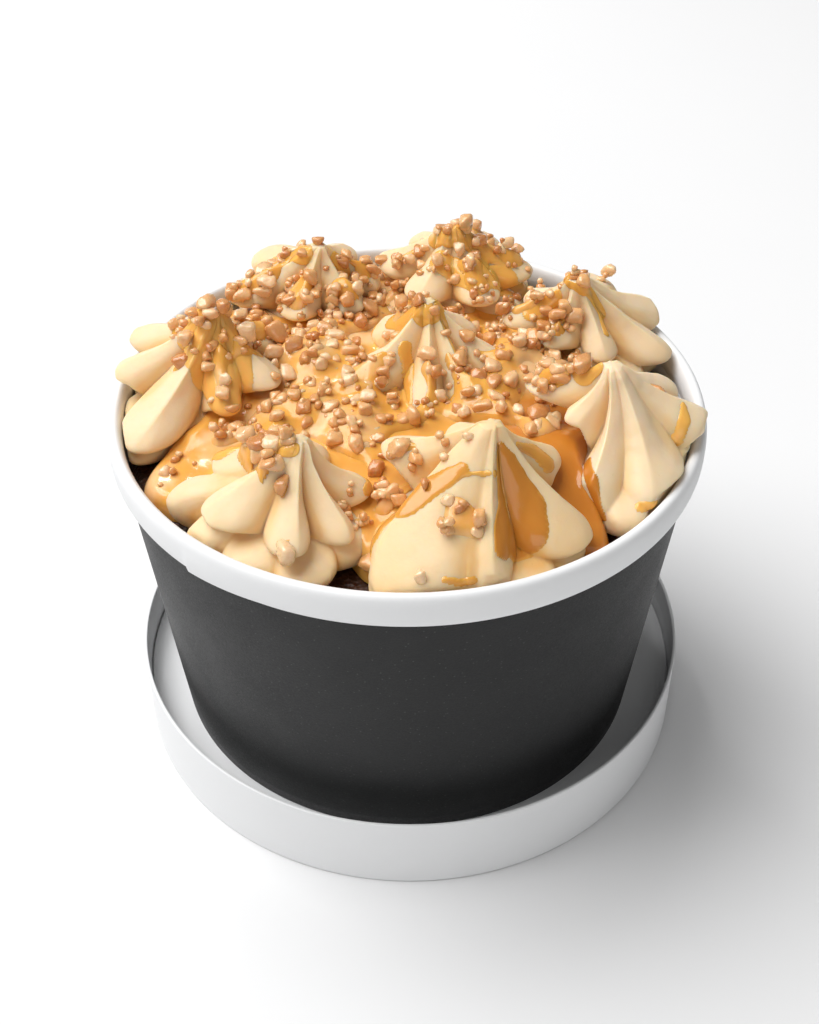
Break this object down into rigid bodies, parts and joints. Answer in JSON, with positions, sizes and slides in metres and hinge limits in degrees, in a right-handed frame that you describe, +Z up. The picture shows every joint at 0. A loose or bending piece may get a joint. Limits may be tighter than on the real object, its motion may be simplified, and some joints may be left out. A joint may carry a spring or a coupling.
{
  "type": "tiramisu dessert cup",
  "caption": "Round paper cup of tiramisu topped with piped cream rosettes, caramel and nut brittle crumbs, standing in its own upturned lid.",
  "frame": {"origin": "on the table, under the middle of the bounding box", "axes": "+Z up; the side that the picture shows in front faces -Y, and +X is to the right there"},
  "size_m": [0.0992, 0.1006, 0.082],
  "materials": {
    "dark_board": "matte black printed paper board, white inside and on the rolled rim",
    "white_board": "smooth white coated paper board",
    "sponge": "dark soaked sponge",
    "cream": "smooth satin piped cream",
    "caramel": "glossy poured caramel",
    "brittle": "toasted nut brittle, wet with caramel"
  },
  "bodies": {
    "root": {"lid_skirt": "white_board", "lid_panel": "white_board", "cup_side": "dark_board", "cup_base": "white_board", "sponge": "sponge", "cream_front_left": "cream", "cream_front": "cream", "cream_right": "cream", "cream_back_right": "cream", "cream_back": "cream", "cream_back_left": "cream", "cream_left": "cream", "cream_centre": "cream", "caramel_pool": "caramel"}
  },
  "joints": []
}
